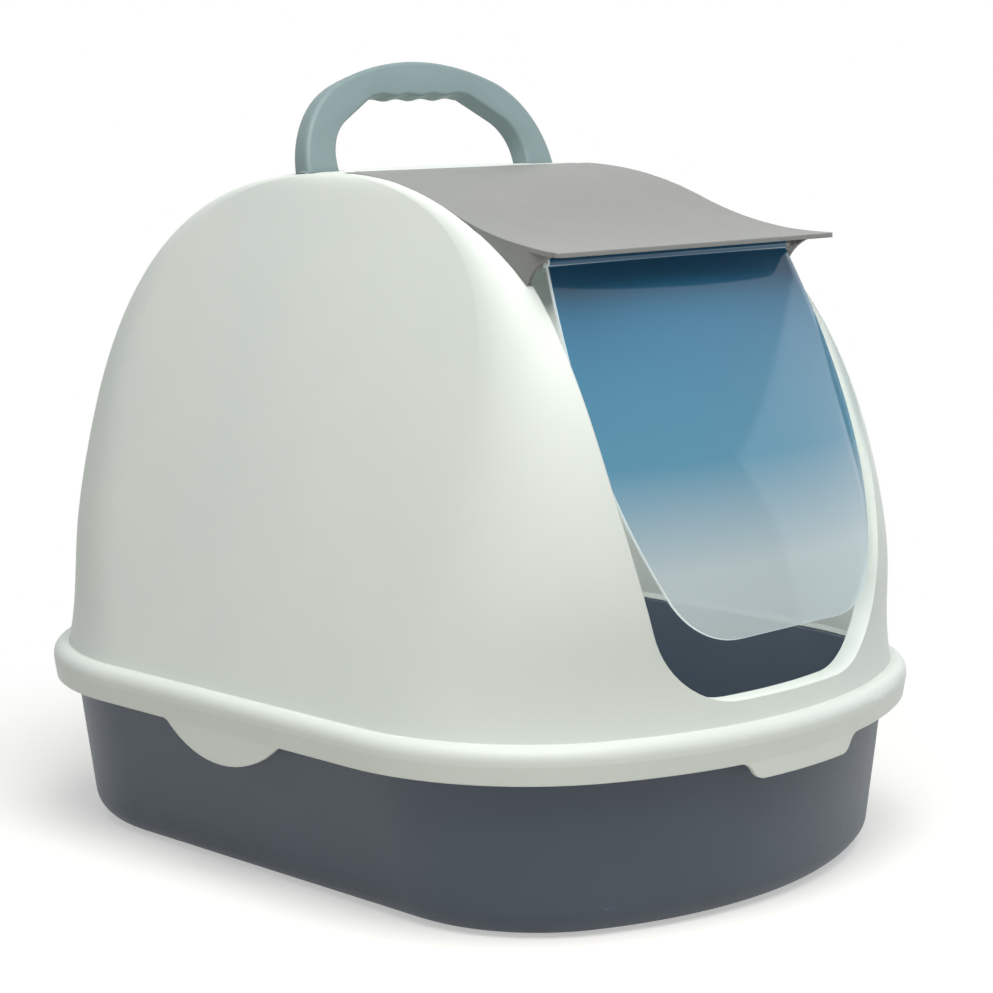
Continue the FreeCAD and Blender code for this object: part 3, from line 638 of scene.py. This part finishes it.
def lay_floor(values):
    """A round pale floor under the box."""
    mesh = bpy.data.meshes.new("floor")
    shape = bmesh.new()
    bmesh.ops.create_circle(shape, cap_ends=True, radius=values.floor_radius, segments=64)
    shape.to_mesh(mesh)
    shape.free()
    mesh.materials.append(floor_paper(values))
    floor = bpy.data.objects.new("floor", mesh)
    bpy.context.scene.collection.objects.link(floor)


def light_surround(values):
    """Even light from all round, white where it is seen."""
    world = bpy.data.worlds.new("surround")
    world.use_nodes = True
    tree = world.node_tree
    tree.nodes.clear()
    seen = seen_directly(tree)
    strength = add_node(
        tree, "ShaderNodeMath", {0: seen, 1: 1 - values.sky, 2: values.sky}, operation="MULTIPLY_ADD")
    colour = add_node(
        tree, "ShaderNodeMix", {0: seen, 6: opaque(values.sky_colour), 7: (1.0, 1.0, 1.0, 1.0)},
        data_type="RGBA")
    light = add_node(
        tree, "ShaderNodeBackground", {"Color": colour.outputs[2], "Strength": strength.outputs["Value"]})
    add_node(tree, "ShaderNodeOutputWorld", {"Surface": light.outputs["Background"]})
    bpy.context.scene.world = world


def backward(azimuth, elevation):
    """The direction from the box towards a camera or lamp at these angles."""
    return Vector((
        math.sin(azimuth) * math.cos(elevation),
        -math.cos(azimuth) * math.cos(elevation),
        math.sin(elevation)))


def hang_lamp(name, power, aim, size, azimuth, elevation, distance, colour=(1, 1, 1)):
    """A square soft lamp that faces the aim, with its angles in degrees and its lengths in metres."""
    lamp = bpy.data.lights.new(name, "AREA")
    lamp.color = colour
    lamp.energy = power
    lamp.size = size
    back = backward(math.radians(azimuth), math.radians(elevation))
    holder = bpy.data.objects.new(name, lamp)
    holder.location = Vector(aim) + back * distance
    holder.rotation_mode = "QUATERNION"
    holder.rotation_quaternion = (-back).to_track_quat("-Z", "Y")
    bpy.context.scene.collection.objects.link(holder)


def stand_camera(values):
    """The camera, at the photograph's viewing angle."""
    camera = bpy.data.cameras.new("camera")
    camera.sensor_width = 36
    camera.lens = values.lens
    back = backward(values.azimuth, values.elevation)
    holder = bpy.data.objects.new("camera", camera)
    holder.location = Vector(values.aim) + back * values.distance
    holder.rotation_mode = "QUATERNION"
    holder.rotation_quaternion = (-back).to_track_quat("-Z", "Y")
    bpy.context.scene.collection.objects.link(holder)
    bpy.context.scene.camera = holder


class LITTERBOX_OT_stage(bpy.types.Operator):
    """Set the floor, the lamps and the camera"""
    bl_idname = "litterbox.stage"
    bl_label = "Set stage"

    def execute(self, context):
        values = context.scene.litter_box_stage
        lay_floor(values)
        light_surround(values)
        hang_lamp("key_lamp", values.key_power, values.aim, size=0.9, azimuth=-36, elevation=60, distance=1.2)
        hang_lamp("top_lamp", values.top_power, values.aim, size=1.8, azimuth=-60, elevation=80, distance=2.0)
        hang_lamp(
            "side_lamp", values.side_power, values.aim, size=1.0, azimuth=62, elevation=10, distance=1.8,
            colour=values.side_colour)
        hang_lamp(
            "back_lamp", values.back_power, values.aim, size=1.2, azimuth=95, elevation=18, distance=2.0)
        hang_lamp(
            "cabin_lamp", values.cabin_power, values.aim, size=0.16, azimuth=180, elevation=70, distance=0.12)
        stand_camera(values)
        context.scene.view_settings.view_transform = "Standard"
        return {"FINISHED"}


OPERATORS = (
    LITTERBOX_OT_tray,
    LITTERBOX_OT_hood,
    LITTERBOX_OT_visor,
    LITTERBOX_OT_door,
    LITTERBOX_OT_handle,
    LITTERBOX_OT_pins,
    LITTERBOX_OT_stage,
)


class LITTERBOX_PT_panel(bpy.types.Panel):
    """Lists the litter box's operators and values"""
    bl_idname = "LITTERBOX_PT_panel"
    bl_label = "Litter box"
    bl_space_type = "VIEW_3D"
    bl_region_type = "UI"
    bl_category = "Litter box"

    def draw(self, context):
        scene = context.scene
        for group in (
                scene.litter_box_finishes, scene.litter_box_door, scene.litter_box_handle,
                scene.litter_box_stage):
            for name in group.bl_rna.properties.keys():
                if name not in ("rna_type", "name"):
                    self.layout.prop(group, name)
        for operator in OPERATORS:
            self.layout.operator(operator.bl_idname)


CLASSES = (
    LitterBoxFinishes,
    LitterBoxDoor,
    LitterBoxHandle,
    LitterBoxStage,
    *OPERATORS,
    LITTERBOX_PT_panel,
)


def register():
    for each in CLASSES:
        bpy.utils.register_class(each)
    bpy.types.Scene.litter_box_finishes = bpy.props.PointerProperty(type=LitterBoxFinishes)
    bpy.types.Scene.litter_box_door = bpy.props.PointerProperty(type=LitterBoxDoor)
    bpy.types.Scene.litter_box_handle = bpy.props.PointerProperty(type=LitterBoxHandle)
    bpy.types.Scene.litter_box_stage = bpy.props.PointerProperty(type=LitterBoxStage)


def unregister():
    del bpy.types.Scene.litter_box_stage
    del bpy.types.Scene.litter_box_handle
    del bpy.types.Scene.litter_box_door
    del bpy.types.Scene.litter_box_finishes
    for each in reversed(CLASSES):
        bpy.utils.unregister_class(each)


def main():
    register()
    bpy.ops.litterbox.tray()
    bpy.ops.litterbox.hood()
    bpy.ops.litterbox.visor()
    bpy.ops.litterbox.door()
    bpy.ops.litterbox.handle()
    bpy.ops.litterbox.pins()
    bpy.ops.litterbox.stage()


if __name__ == "__main__":
    main()
